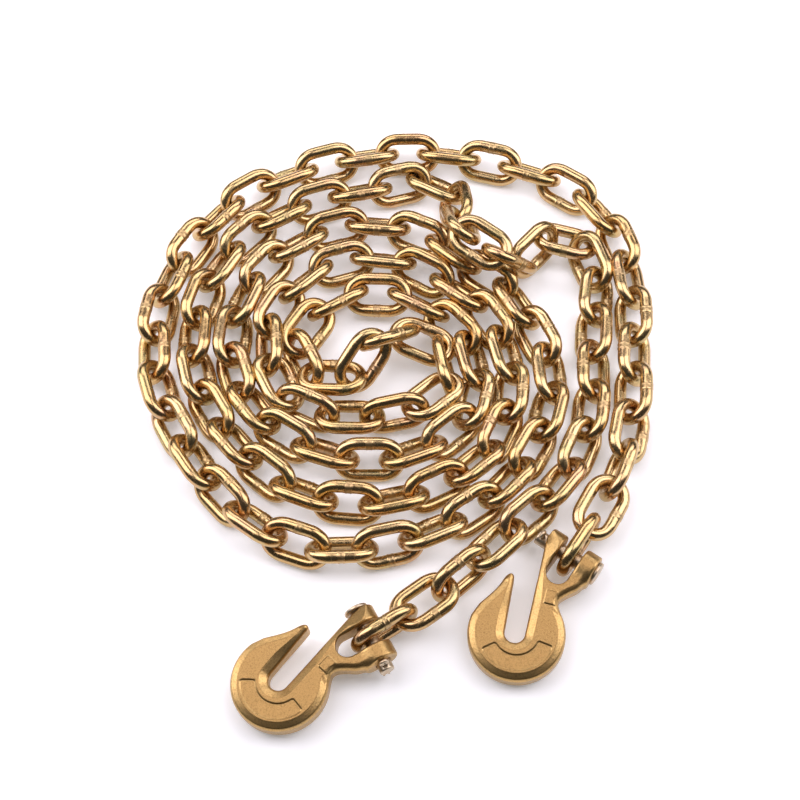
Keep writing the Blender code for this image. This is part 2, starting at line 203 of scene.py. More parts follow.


# %% [markdown]
# ## Yellow zinc on a forging
# A hook comes out of its dies with a fine scale on its flat sides, and it is shot blasted before
# plating, so the same chromate looks satin and rougher there. The flat sides are also painted darker,
# which is painted shade, and the rims and the walls of the slot keep the lighter colour.

# %% Hook finish
def hook_finish():
    finish = Finish("yellow_zinc_forging", Metallic=1.0)
    place = finish.place()
    own = finish.node("ShaderNodeObjectInfo", output="Random")
    facing = finish.node("ShaderNodeTexCoord", output="Normal")
    face = finish.node("ShaderNodeSeparateXYZ", None, {"Vector": facing}, output="Z").size()
    flat = face.between(0.93, 0.995)
    cloud = finish.noise(place, 16 * MM, seed=own * 10)
    pits = finish.noise(place, 1.0 * MM, detail=4.0, roughness=0.75)
    coarse = finish.noise(place, 1.5 * MM, detail=3.0)
    base = finish.blend(cloud.between(0.35, 0.70), colour(0.56, 0.35, 0.13), colour(0.50, 0.33, 0.13))
    # Painted shade: the flat faces, picked by which way they face, get a darker colour than the rims and slot
    # walls.
    painted_shade_flats = finish.blend(flat * 0.85, base, colour(0.42, 0.25, 0.09))
    specked = finish.blend(pits.between(0.46, 0.64) * 0.5, painted_shade_flats, colour(0.16, 0.085, 0.03))
    finish.set(Base_Color=specked,
               Roughness=0.26 + flat * 0.12 + pits * 0.14,
               Normal=finish.bump(pits * (0.35 + flat) + coarse * 0.4, 0.35 * MM, 0.8))
    return finish.material


# %% [markdown]
# ## Pale zinc on the pin and its cotter
# The pin is turned and the cotter is drawn wire. Their chromate is thinner, so they are greyer
# than the links, with a straw tint.

# %% Pin finish
def pin_finish():
    finish = Finish("pale_zinc_pin", Metallic=1.0)
    place = finish.place()
    drift = finish.noise(place, 6 * MM)
    marks = finish.noise(place, 0.7 * MM, detail=4.0)
    base = finish.blend(drift.between(0.4, 0.65), colour(0.56, 0.46, 0.33), colour(0.56, 0.40, 0.24))
    finish.set(Base_Color=finish.blend(marks.between(0.6, 0.8) * 0.5, base, colour(0.36, 0.28, 0.20)),
               Roughness=0.28 + marks * 0.14,
               Normal=finish.bump(marks, 0.06 * MM, 0.4))
    return finish.material


materials = {"link": link_finish(), "hook": hook_finish(), "pin": pin_finish()}
print("finishes:", ", ".join(m.name for m in materials.values()))

# %% [markdown]
# ## The size of the chain
# Everything about a link follows from its bar: 8.7 mm round bar, bent round crowns that leave
# 13.9 mm between the sides and 32 mm from crown to crown. These are the sizes the frame was
# made to, so the finer links fit where its plain ones are.

# %% Chain sizes
BAR_R = 4.35 * MM
INNER_LENGTH = 32.0 * MM
INNER_WIDTH = 13.9 * MM
CROWN_PLAY = 1.45 * MM
CROWN_R = INNER_WIDTH / 2 + BAR_R
BAR_SPAN = INNER_LENGTH + 2 * BAR_R
HOOKED_SPAN = 2 * BAR_R + CROWN_PLAY
STRAIGHT_HALF = BAR_SPAN / 2 - CROWN_R
LAID_LEAN = 45.0
LINKS_TO_LEAN = 4
FLOOR_GAP = 0.61 * MM
LAID_HEIGHT = BAR_R + CROWN_R * math.sin(math.radians(LAID_LEAN)) + FLOOR_GAP
print("a link is", round((BAR_SPAN + 2 * BAR_R) / MM, 1), "mm long over its crowns")

# %% [markdown]
# ## Where the chain lies
# The chain is laid in from the right hook, round and round to the middle, and out again
# to the left hook. The points are the middle of the chain over the table, in millimetres, and
# the lift of a turn that lies over another. They are the points the frame was laid along.

# %% The route
ROUTE_SHIFT_MM = (3.5, 11.7, 0)
ROUTE_MM = [
    # right tail and outer turn
    (107, -127, 3.4), (128, -95, 3.4), (146, -61, 3.3), (157, -22, 1), (161, 18, 0),
    (164, 56, 0), (163, 96, 0), (154, 132, 0), (134, 162, 0), (105, 180, 0),
    (68, 192, 0), (30, 200, 0), (-10, 200, 0), (-49, 192, 0), (-86, 178, 0),
    (-118, 159, 0), (-142, 131, 0), (-160, 99, 0), (-170, 63, 0), (-171, 25, 0),
    (-161, -12, 0), (-142, -46, 0), (-119, -78, 0), (-89, -104, 0), (-54, -118, 0),
    (-17, -116, 0), (19, -106, 0), (51, -88, 0), (78, -63, 0), (96, -33, 0),
    # second turn of the right half
    (105, 0, 0), (102, 31, 0), (88, 60, 0), (71, 89, 0), (49, 111, 0), (19, 130, 0),
    (-12, 138, 0), (-43, 136, 0), (-71, 124, 0), (-96, 104, 0), (-112, 75, 0),
    (-118, 43, 0), (-113, 12, 0), (-98, -15, 0), (-75, -37, 0), (-47, -52, 0),
    (-17, -57, 0), (13, -50, 0), (36, -32, 0), (49, -5, 0),
    # inner turn and the crossing in the middle
    (48, 23, 0), (35, 50, 0), (15, 71, 0), (-10, 82, 0), (-36, 82, 0), (-57, 67, 0),
    (-64, 44, 0), (-57, 18, 0), (-38, 0, 2), (-14, 0, 12), (4, 14, 22),
    (-6, 34, 24), (-28, 40, 16), (-36, 54, 3), (-18, 60, 0), (4, 50, 0),
    # out again between the turns of the right half
    (17, 31, 0), (22, 5, 0), (12, -19, 0), (-13, -29, 0), (-42, -25, 0),
    (-68, -9, 0), (-85, 15, 0), (-91, 43, 0), (-86, 70, 0), (-69, 94, 0),
    (-43, 108, 0), (-12, 110, 0), (16, 101, 0), (41, 83, 0), (60, 57, 0),
    (75, 28, 0), (77, -4, 0), (66, -36, 0), (44, -62, 0), (14, -78, 0),
    (-20, -86, 0), (-55, -82, 0), (-86, -67, 0), (-110, -42, 0), (-131, -13, 0),
    (-143, 20, 0), (-144, 57, 0), (-135, 90, 0), (-119, 117, 0), (-95, 141, 0),
    (-64, 157, 0), (-29, 166, 0), (10, 170, 0), (39, 162, 0),
    # the kink at the back, which lies over the second turn
    (55, 147, 6), (66, 126, 14), (74, 104, 22), (80, 82, 26), (85, 62, 25),
    (97, 53, 13), (107, 65, 2), (108, 86, 0), (99, 106, 0), (96, 129, 0),
    (113, 145, 0), (131, 129, 0),
    # left tail
    (136, 104, 0), (137, 82, 0), (136, 56, 0), (133, 22, 0), (131, -14, 0),
    (121, -47, 0), (100.5, -77.5, 0), (71.5, -104.5, 2), (43, -132, 3.3), (13, -156, 3.4),
    (-17, -176, 3.4), (-44, -193, 3.4),
]
ROUTE_STEPS = 160
RIGHT_SINGLES = 40
LEFT_SINGLES = 10


def smooth_route():
    """Points of a Catmull-Rom curve through the route, in metres."""
    points = (np.array(ROUTE_MM, dtype=float) + ROUTE_SHIFT_MM) * MM
    points[:, 2] += LAID_HEIGHT
    points = np.vstack([2 * points[0] - points[1], points, 2 * points[-1] - points[-2]])
    t = np.linspace(0, 1, ROUTE_STEPS, endpoint=False)[:, None]
    curve = []
    for a, b, c, d in zip(points, points[1:], points[2:], points[3:]):
        curve.append(0.5 * (2 * b + (c - a) * t + (2 * a - 5 * b + 4 * c - d) * t ** 2
                            + (3 * b - a - 3 * c + d) * t ** 3))
    return np.vstack(curve + [points[-2]])


# %% [markdown]
# ## Hooking one link into the next
# A link is a stiff thing, so it doesn't follow the curve: it is a chord of it. Walking along the
# route, each link starts where the last one's crown hooks it and ends one bar span further on.
# Neighbours lie square to each other, and both lean half over, which is how a chain settles.

# %% Link places
def link_bars():
    """Each link's two crown bars, hooked one into the next along the route."""
    curve = smooth_route()
    heading = np.gradient(curve, axis=0)
    heading /= np.linalg.norm(heading, axis=1)[:, None]
    bars = []
    at = 0
    while True:
        start = curve[at] - heading[at] * HOOKED_SPAN / 2
        ends = curve[at + 1:] + heading[at + 1:] * HOOKED_SPAN / 2
        far_enough = np.nonzero(np.linalg.norm(ends - start, axis=1) >= BAR_SPAN)[0]
        if len(far_enough) == 0:
            return bars
        bars.append((Vector(start), Vector(ends[far_enough[0]])))
        at += 1 + far_enough[0]


def lean_of(index, count):
    """Degrees from lying flat: neighbours are square, and the links on the pins stand."""
    on_edge = 0.0 if index < count / 2 or count % 2 else 90.0
    settled = min(min(index, count - 1 - index) / LINKS_TO_LEAN, 1.0)
    return on_edge + (LAID_LEAN - on_edge) * settled + (90.0 if index % 2 == 0 else 0.0)


def axes_matrix(x, y, z, origin):
    matrix = Matrix((x, y, z)).transposed().to_4x4()
    matrix.translation = origin
    return matrix


def link_frames():
    """A matrix for each link: X along it, Y across it in its own plane."""
    bars = link_bars()
    frames = []
    for index, (start, end) in enumerate(bars):
        along = (end - start).normalized()
        level = Vector((0, 0, 1)).cross(along).normalized()
        above = along.cross(level)
        lean = math.radians(lean_of(index, len(bars)))
        across = level * math.cos(lean) + above * math.sin(lean)
        frames.append(axes_matrix(along, across, along.cross(across), (start + end) / 2))
    return frames


frames = link_frames()
print(len(frames), "links,", round(len(frames) * INNER_LENGTH, 2), "m of chain")

# %% [markdown]
# ## Letting the pile settle
# The route is drawn through given points, so where the chain doubles back in the middle and at the kink its
# links start inside each other. A little simulation settles them the way gravity does. Each
# link is a stiff loop of points. In every step it drops a little, its crowns are drawn back to
# where their neighbours hook them, loops that touch push each other apart, and those that sink
# into the table are lifted. The fifty links that have a node each are held still, because the
# frame says where they are. It is a rough simulation: where the pile is tightest the links still
# run a little into each other, and the settled ones no longer lie quite where the frame has them.

# %% Settle the inner links
SETTLE_STEPS = 240
SEARCH_EVERY = 10               # steps between two searches for links that are close
LOOP_POINTS = 28
DROP = 0.05 * MM
SLIDE_SHARE = 0.6               # how much of a push slides a link
HOOK_SHARE = 0.9
STRAIGHTEN_SHARE = 0.4
SQUARE_SHARE = 0.15
UPWARD_BIAS = 1e-3
SHARPEST_BEND = math.radians(58)
TURN_ARM = 14 * MM
APART = 2 * BAR_R + 0.1 * MM


def unit(rows):
    return rows / np.maximum(np.linalg.norm(rows, axis=-1, keepdims=True), 1e-12)


class Pile:
    """Links as stiff loops: a centre and three axes each, in arrays."""

    def __init__(self, frames, free):
        self.centre = np.array([m.translation for m in frames])
        self.axes = np.array([np.array(m.to_3x3()) for m in frames])
        self.free = free
        turns = np.linspace(0, 2 * math.pi, LOOP_POINTS, endpoint=False)
        x = CROWN_R * np.cos(turns) + STRAIGHT_HALF * np.sign(np.round(np.cos(turns), 9))
        self.loop = np.stack([x, CROWN_R * np.sin(turns), 0 * turns], axis=1)
        self.start_push()

    def start_push(self):
        self.push = np.zeros_like(self.centre)
        self.spin = np.zeros_like(self.centre)
        self.count = np.zeros(len(self.centre))

    def add(self, link, arm, move):
        """Ask for a link's point at arm from its centre to move."""
        inertia = (arm ** 2).sum(axis=-1, keepdims=True) + TURN_ARM ** 2
        np.add.at(self.push, link, move)
        np.add.at(self.spin, link, np.cross(arm, move) / inertia)
        np.add.at(self.count, link, 1.0)

    def apply(self, share):
        """Move the free links by the mean of what was asked of them."""
        heavy = self.free[:, None] * share / np.maximum(self.count, 1.0)[:, None]
        self.centre += self.push * heavy * SLIDE_SHARE
        for link in np.nonzero(self.free & (self.count > 0))[0]:
            turn = Vector(self.spin[link] * heavy[link])
            if turn.length > 0:
                self.axes[link] = np.array(Matrix.Rotation(turn.length, 3, turn)) @ self.axes[link]
        self.start_push()

    def points(self):
        return self.centre[:, None] + self.loop @ self.axes.transpose(0, 2, 1)

    def hook_crowns(self):
        """Draw each crown back to where the next link hooks it."""
        ahead = self.axes[:, :, 0]
        arms = ahead * BAR_SPAN / 2
        between = unit(ahead[:-1] + ahead[1:]) * HOOKED_SPAN
        miss = (self.centre[:-1] + arms[:-1]) - (self.centre[1:] - arms[1:]) - between
        rows = np.arange(len(miss))
        self.add(rows, arms[:-1], -miss * 0.5)
        self.add(rows + 1, -arms[1:], miss * 0.5)

    def straighten(self):
        """Open bends that are too sharp, and keep neighbours square to each other."""
        for k in np.nonzero(self.free[:-1] | self.free[1:])[0]:
            ahead, after = self.axes[k, :, 0], self.axes[k + 1, :, 0]
            bend = math.acos(float(np.clip(ahead @ after, -1, 1)))
            if bend > SHARPEST_BEND:
                turn = unit(np.cross(ahead, after)) * (bend - SHARPEST_BEND) * STRAIGHTEN_SHARE
                self.turn(k, turn)
                self.turn(k + 1, -turn)
            mean = unit(self.axes[k, :, 0] + self.axes[k + 1, :, 0])
            across, over = self.axes[k, :, 1], self.axes[k + 1, :, 1]
            slip = float(across @ over)
            side = 1.0 if float(np.cross(across, over) @ mean) > 0 else -1.0
            self.turn(k, mean * side * -slip * SQUARE_SHARE)
            self.turn(k + 1, mean * side * slip * SQUARE_SHARE)

    def turn(self, link, turn):
        if self.free[link]:
            spin = Matrix.Rotation(float(np.linalg.norm(turn)), 3, Vector(turn))
            self.axes[link] = np.array(spin) @ self.axes[link]

    def part_loops(self, pairs):
        """Push apart the links that touch without being hooked together."""
        places = self.points()
        a, b = pairs[:, 0], pairs[:, 1]
        gaps = places[a][:, :, None] - places[b][:, None]
        far = np.linalg.norm(gaps, axis=3)
        near = far.argmin(axis=2)
        least = np.take_along_axis(far, near[:, :, None], axis=2)[:, :, 0]
        pair, point = np.nonzero(least < APART)
        other = near[pair, point]
        way = unit(gaps[pair, point, other]) + np.array((0, 0, UPWARD_BIAS))
        deep = (APART - least[pair, point])[:, None] * 0.5
        share = np.where(self.free[a[pair]] & self.free[b[pair]], 1.0, 2.0)[:, None]
        self.add(a[pair], places[a[pair], point] - self.centre[a[pair]], way * deep * share)
        self.add(b[pair], places[b[pair], other] - self.centre[b[pair]], -way * deep * share)
        return float((APART - least[pair, point]).max()) if len(pair) else 0.0

    def lift_off_table(self):
        places = self.points()
        link, point = np.nonzero(places[:, :, 2] < BAR_R)
        lift = np.zeros((len(link), 3))
        lift[:, 2] = BAR_R - places[link, point, 2]
        self.add(link, places[link, point] - self.centre[link], lift)


def settle(frames):
    """New matrices for the links, with the ones inside the coil come to rest."""
    index = np.arange(len(frames))
    pile = Pile(frames, (index >= RIGHT_SINGLES) & (index < len(frames) - LEFT_SINGLES))
    laid = pile.centre.copy()
    deepest = 0.0
    for step in range(SETTLE_STEPS):
        if step % SEARCH_EVERY == 0:
            far = np.linalg.norm(pile.centre[:, None] - pile.centre[None], axis=2)
            close = (far < 2 * (BAR_SPAN / 2 + BAR_R)) & (index[None] > index[:, None] + 1)
            pairs = np.argwhere(close & (pile.free[:, None] | pile.free[None]))
        pile.centre[pile.free, 2] -= DROP * (1 - step / SETTLE_STEPS)
        for _ in range(2):
            pile.hook_crowns()
            pile.apply(HOOK_SHARE)
        pile.straighten()
        deepest = pile.part_loops(pairs)
        pile.apply(1.0)
        pile.lift_off_table()
        pile.apply(1.0)
    low = pile.points()[:, :, 2].min(axis=1)
    pile.centre[pile.free, 2] += np.maximum(BAR_R - low, 0)[pile.free]
    moved = np.linalg.norm(pile.centre - laid, axis=1)
    print("settled; the last step still found loop points", round(deepest / MM, 2), "mm too close")
    print("a link moved", round(moved.max() / MM, 1), "mm at most and",
          round(np.median(moved[pile.free]) / MM, 1), "mm as a rule")
    return [axes_matrix(*[Vector(row) for row in axes.T], Vector(centre))
            for axes, centre in zip(pile.axes, pile.centre)]


frames = settle(frames)

# %% [markdown]
# ## One welded link
# A link is a bar bent into a loop and butt welded in the middle of one side. A mesh can be swept
# the same way: a ring of points is carried round the loop. The weld squeezes out a low collar
# that is trimmed off, and what is left is two fine ridges and a slightly flat patch, so the ring's
# radius is a sum of those. Rings are packed closer there than on the plain bends.

# %% Link mesh
BAR_SIDES = 24
LINE_STEPS = 60                # points of the loop's line along one straight side
EASING = 150
BEND_THIN = 0.2 * MM            # how much the bar is drawn thinner round its bends
WELD_RINGS = 48
PLAIN_RINGS = 72
RIDGE_HALF = 0.35 * MM
LINK_MAKES = 8


def weld_swell(x, around, make):
    """How far the bar stands proud of round at x along the welded side."""
    upset = 0.16 * MM * math.exp(-(x / (3.2 * MM)) ** 2)
    swell = upset
    for sign in (-1, 1):
        centre = sign * make["weld_half"] + 0.35 * MM * math.sin(around + make["turn"]) * make["skew"]
        swell += make["ridge"] * math.exp(-((x - centre) / RIDGE_HALF) ** 2)
    trim = max(0.0, math.cos(around - make["trim"])) ** 6
    return swell - 0.28 * MM * trim * math.exp(-(x / (2.6 * MM)) ** 4)


def loop_line():
    """The middle of the bar round the loop: straight sides eased into round crowns."""
    side = [(x, CROWN_R) for x in np.linspace(STRAIGHT_HALF, -STRAIGHT_HALF, LINE_STEPS, endpoint=False)]
    crown = [(-STRAIGHT_HALF + CROWN_R * math.cos(a), CROWN_R * math.sin(a))
             for a in np.linspace(math.pi / 2, 3 * math.pi / 2, 2 * LINE_STEPS, endpoint=False)]
    line = np.array(side + crown)
    line = np.vstack([line, -line])
    for _ in range(EASING):
        line = (np.roll(line, 1, axis=0) + 2 * line + np.roll(line, -1, axis=0)) / 4
    return line * (BAR_SPAN / 2 / line[:, 0].max(), CROWN_R / line[:, 1].max())


LINE = loop_line()


def link_mesh(name, make):
    """A bar swept round the loop, with the weld in the middle of its +Y side."""
    spots = np.concatenate([np.linspace(0, LINE_STEPS, WELD_RINGS, endpoint=False),
                            np.linspace(LINE_STEPS, len(LINE), PLAIN_RINGS, endpoint=False)])
    heading = np.roll(LINE, -1, axis=0) - np.roll(LINE, 1, axis=0)
    verts = []
    for spot in spots:
        low = int(spot)
        share = spot - low
        middle = LINE[low % len(LINE)] * (1 - share) + LINE[(low + 1) % len(LINE)] * share
        ahead = heading[low % len(LINE)] * (1 - share) + heading[(low + 1) % len(LINE)] * share
        out = np.array((ahead[1], -ahead[0], 0)) / np.linalg.norm(ahead)
        welded = middle[1] > 0 and abs(middle[0]) < STRAIGHT_HALF * 1.4
        bent = min(1.0, max(0.0, abs(middle[0]) - STRAIGHT_HALF) / (0.3 * CROWN_R))
        for side in range(BAR_SIDES):
            around = 2 * math.pi * side / BAR_SIDES
            swell = weld_swell(middle[0], around, make) if welded else 0.0
            radius = BAR_R - BEND_THIN * bent + swell
            verts.append(np.array((*middle, 0)) + radius * (out * math.cos(around)
                                                            + np.array((0, 0, math.sin(around)))))
    faces = []
    rings = WELD_RINGS + PLAIN_RINGS
    for ring in range(rings):
        for side in range(BAR_SIDES):
            a = ring * BAR_SIDES + side
            b = ring * BAR_SIDES + (side + 1) % BAR_SIDES
            step = BAR_SIDES if ring < rings - 1 else BAR_SIDES * (1 - rings)
            faces.append((a, a + step, b + step, b))
    mesh = bpy.data.meshes.new(name)
    mesh.from_pydata([tuple(v) for v in verts], [], faces)
    mesh.materials.append(materials["link"])
    mesh.shade_smooth()
    return mesh


random = np.random.default_rng(7)
link_meshes = []
for number in range(LINK_MAKES):
    make = {"weld_half": random.uniform(1.1, 1.9) * MM, "ridge": random.uniform(0.10, 0.34) * MM,
            "turn": random.uniform(0, 6.3), "skew": random.uniform(0.2, 1.0),
            "trim": random.uniform(-1.2, 1.2)}
    link_meshes.append(link_mesh(f"welded_link_{number + 1}", make))
print(LINK_MAKES, "makes of link,", len(link_meshes[0].polygons), "faces each")

# %% [markdown]
# ## Hanging the links on the frame
# The last links of the two tails swing, so each of those rides on its own body. All the others
# ride on the coil, and the ones wound inside it stand together for the frame's one solid. The
# weld is on any of the link's sides, so every link is turned end for end or over at random.

# %% Place the links
TURNS = [Matrix.Identity(4), Matrix.Rotation(math.pi, 4, "X"), Matrix.Rotation(math.pi, 4, "Y"),
         Matrix.Rotation(math.pi, 4, "Z")]


def body_of_node(node):
    for body, nodes in frame["record"]["behaviour"]["bodies"].items():
        if node in nodes:
            return body
    return None


def place_link(index, matrix):
    """A fine link in the place of its CAD node, or one of the coil's own."""
    from_left = len(frames) - index
    if index < RIGHT_SINGLES:
        node = f"right_link_{index + 1:02d}"
    elif from_left <= LEFT_SINGLES:
        node = f"left_link_{from_left:02d}"
    else:
        node = "inner_coil_links"
    coil_name = f"chain_coil_link_{index - RIGHT_SINGLES + 1:02d}"
    name = coil_name if node == "inner_coil_links" else f"chain_{node}"
    link = bpy.data.objects.new(name, link_meshes[int(random.integers(LINK_MAKES))])
    bpy.context.scene.collection.objects.link(link)
    link.matrix_world = matrix @ TURNS[int(random.integers(4))]
    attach(link, body_of_node(node))
    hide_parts(node)
    return link


links = [place_link(index, matrix) for index, matrix in enumerate(frames)]
print("placed", len(links), "links")

# %% [markdown]
# ## Shaping a forging with distances
# A drop forging has no sharp edges: its bowl, neck and fork flow into each other, and its slot
# is a swaged groove with sloping lips. Bevels on a mesh can't make that flow. A distance field
# can: each shape is a function that says how far a point is from its surface, two shapes together
# are the smaller value of them, and a rounded smaller value makes a fillet. The mesh is the skin where
# the distance is nought.

# %% Distance tools
def fillet_min(a, b, radius):
    """The nearer of two shapes, with a fillet where they meet."""
    share = np.clip(0.5 + 0.5 * (b - a) / radius, 0, 1)
    return b + (a - b) * share - radius * share * (1 - share)


def fillet_max(a, b, radius):
    """What two shapes share, with its edge eased."""
    return -fillet_min(-a, -b, radius)


def segment_distance(x, y, a, b):
    """How far points are from a straight line between two points."""
    dx, dy = b[0] - a[0], b[1] - a[1]
    t = np.clip(((x - a[0]) * dx + (y - a[1]) * dy) / (dx * dx + dy * dy), 0, 1)
    return np.hypot(x - a[0] - t * dx, y - a[1] - t * dy)


def outline_distance(x, y, outline):
    """How far points are outside a closed outline, negative inside it."""
    near = np.full(x.shape, 1e9)
    inside = np.zeros(x.shape, bool)
    for a, b in zip(outline, outline[1:] + outline[:1]):
        near = np.minimum(near, segment_distance(x, y, a, b))
        crosses = (a[1] > y) != (b[1] > y)
        rise = b[1] - a[1] if b[1] != a[1] else 1.0
        inside ^= crosses & (x < a[0] + (y - a[1]) / rise * (b[0] - a[0]))
    return np.where(inside, -near, near)


def smooth_step(value, low, high):
    t = np.clip((value - low) / (high - low), 0, 1)
    return t * t * (3 - 2 * t)


# %% [markdown]
# ## A skin on a distance field
# Space is cut into small cubes. Each cube that the surface passes through gets one point, at the
# middle of where the surface cuts its edges, and each edge that crosses the surface gets one
# four-sided face between the cubes around it. A few steps down the slope of the field then put
# every point on the surface itself, so the mesh is smoother than the cubes.

# %% Surface net
def surface_net(name, field, low, high, step, material):
    """A mesh of the skin of a distance field, all sizes in millimetres."""
    axes = [np.arange(a - step, b + 2 * step, step) for a, b in zip(low, high)]
    grid = np.meshgrid(*axes, indexing="ij", sparse=True)
    values = field(*grid) + np.zeros([len(a) for a in axes])
    solid = values < 0
    total = np.zeros((*[n - 1 for n in values.shape], 3))
    count = np.zeros(total.shape[:3])
    for axis in range(3):
        others = [k for k in range(3) if k != axis]
        here = [slice(None)] * 3
        there = [slice(None)] * 3
        here[axis], there[axis] = slice(0, -1), slice(1, None)
        start, end = values[tuple(here)], values[tuple(there)]
        cut = (start < 0) != (end < 0)
        share = np.where(cut, start / np.where(cut, start - end, 1.0), 0.0)
        for first in (0, 1):
            for second in (0, 1):
                part = [slice(None)] * 3
                part[others[0]] = slice(first, first + total.shape[others[0]])
                part[others[1]] = slice(second, second + total.shape[others[1]])
                hit = cut[tuple(part)]
                count += hit
                total[..., axis] += np.where(hit, share[tuple(part)], 0.0)
                total[..., others[0]] += hit * first
                total[..., others[1]] += hit * second
    used = count > 0
    number = np.full(used.shape, -1)
    number[used] = np.arange(int(used.sum()))
    cells = np.argwhere(used)
    origin = np.array([a[0] for a in axes])
    points = (cells + total[used] / count[used][:, None]) * step + origin
    faces = []
    for axis in range(3):
        others = [k for k in range(3) if k != axis]
        here = [slice(1, -1)] * 3
        there = [slice(1, -1)] * 3
        here[axis], there[axis] = slice(0, -1), slice(1, None)
        crossing = solid[tuple(here)] != solid[tuple(there)]
        at = np.argwhere(crossing)
        at[:, others] += 1
        out = solid[tuple(here)][crossing]
        ring = []
        for first, second in ((0, 0), (1, 0), (1, 1), (0, 1)):
            cell = at.copy()
            cell[:, others[0]] -= first
            cell[:, others[1]] -= second
            ring.append(number[tuple(cell.T)])
        quads = np.stack(ring, axis=1)
        flip = out if axis == 1 else ~out
        quads[flip] = quads[flip][:, ::-1]
        faces.append(quads)
    faces = np.vstack(faces)
    reach = 0.05
    for _ in range(4):
        here = field(*points.T)
        slope = np.stack([(field(*(points + step_aside).T) - field(*(points - step_aside).T)) / (2 * reach)
                          for step_aside in reach * np.eye(3)], axis=1)
        move = here[:, None] * slope / np.maximum((slope ** 2).sum(axis=1), 0.05)[:, None]
        points -= np.clip(move, -step / 3, step / 3)
    mesh = bpy.data.meshes.new(name)
    mesh.from_pydata(points * MM, [], faces)
    mesh.materials.append(material)
    mesh.shade_smooth()
    print(name, "has", len(faces), "faces")
    return mesh


# %% [markdown]
# ## The grab hook
# The hook's own frame has X towards the clevis pin, Y across and Z through its thickness, with the
# middle of the bowl at nought. The bowl's rim is rolled over, the slot that grips a link edgewise
# has broad sloping lips, and a blank panel is let into the bowl below it.

# %% Hook sizes, in millimetres
BOWL_R = 31.0
HALF_T = 8.0
RIM_ROUND = 4.6
RIM_SLOPE = 0.36
RIM_WIDTH = 5.2
SLOT_HALF_W = 6.45
SLOT_LEAN = math.radians(22.5)
SLOT_FLARE = 0.022
TIP_END = 37.6
LIP_WIDTH = 5.6
LIP_SLOPE = 0.52
PIN_X = 62.5
EAR_OUTER_Y = 18.0
BOSS_R = 10.5
BORE_R = 5.25
GAP_HALF_W = 7.4
GAP_BOTTOM_X = 47.5
PANEL_INNER_R = 14.6
PANEL_OUTER_R = 24.2
PANEL_DEPTH = 0.65
PLATE_RISE = 0.6


def arc(centre, radius, start, end, steps):
    """Points of an arc, angles in degrees."""
    return [(centre[0] + radius * math.cos(a), centre[1] + radius * math.sin(a))
            for a in np.radians(np.linspace(start, end, steps + 1))]


def eased(points, steps=6):
    """Points of a smooth curve through the given ones."""
    given = [np.array(p, float) for p in points]
    given = [2 * given[0] - given[1], *given, 2 * given[-1] - given[-2]]
    curve = []
    for a, b, c, d in zip(given, given[1:], given[2:], given[3:]):
        for t in np.linspace(0, 1, steps, endpoint=False):
            curve.append(tuple(0.5 * (2 * b + (c - a) * t + (2 * a - 5 * b + 4 * c - d) * t ** 2
                                      + (3 * b - a - 3 * c + d) * t ** 3)))
    return curve + [tuple(given[-2])]


def outer_outline():
    """The hook from above with its slot filled in: bowl, neck, fork, shank, point."""
    outline = arc((0, 0), BOWL_R, 100, 330, 60)
    outline += eased([(28.6, -13.4), (31.0, -11.2), (34.5, -11.0), (39.5, -13.2), (45.5, -16.6),
                      (52.0, -EAR_OUTER_Y)])
    outline += [(PIN_X + 1.0, -EAR_OUTER_Y), (PIN_X + 1.0, EAR_OUTER_Y), (57.5, EAR_OUTER_Y)]
    outline += eased([(44.0, 24.0), (34.6, 27.5), (29.6, 26.5), (25.7, 26.6), (19.7, 26.7),
                      (12.7, 27.9), (3.3, 30.3)])
    return outline


OUTER = outer_outline()
print("hook outline:", len(OUTER), "points")


# %% Hook field
def slot_place(x, y):
    """Along the slot and across it, from its round bottom."""
    px, py = x, y - 1.2
    return (px * math.cos(SLOT_LEAN) + py * math.sin(SLOT_LEAN),
            -px * math.sin(SLOT_LEAN) + py * math.cos(SLOT_LEAN))


def slot_distance(x, y):
    """How far a point is from the open slot, negative inside it."""
    along, across = slot_place(x, y)
    ahead = np.maximum(along, 0)
    return (np.hypot(np.minimum(along, 0), across) - SLOT_HALF_W - SLOT_FLARE * ahead)


def face_height(x, y):
    """Half the thickness of the flat sides, with the panel sunk and the plate raised."""
    radius, angle = np.hypot(x, y), np.degrees(np.arctan2(y, x)) % 360
    side = np.maximum(PANEL_INNER_R - radius, radius - PANEL_OUTER_R)
    ends = np.maximum(150 - angle, angle - 282) * np.radians(1) * radius
    panel = 1 - smooth_step(fillet_max(side, ends, 1.8), -0.55, 0.55)
    px, py = x - 31.0, y + 5.4
    plate = np.maximum(np.abs(px * 0.94 + py * 0.34) - 4.6, np.abs(-px * 0.34 + py * 0.94) - 3.6)
    return HALF_T - PANEL_DEPTH * panel + PLATE_RISE * (1 - smooth_step(plate, -0.55, 0.55))


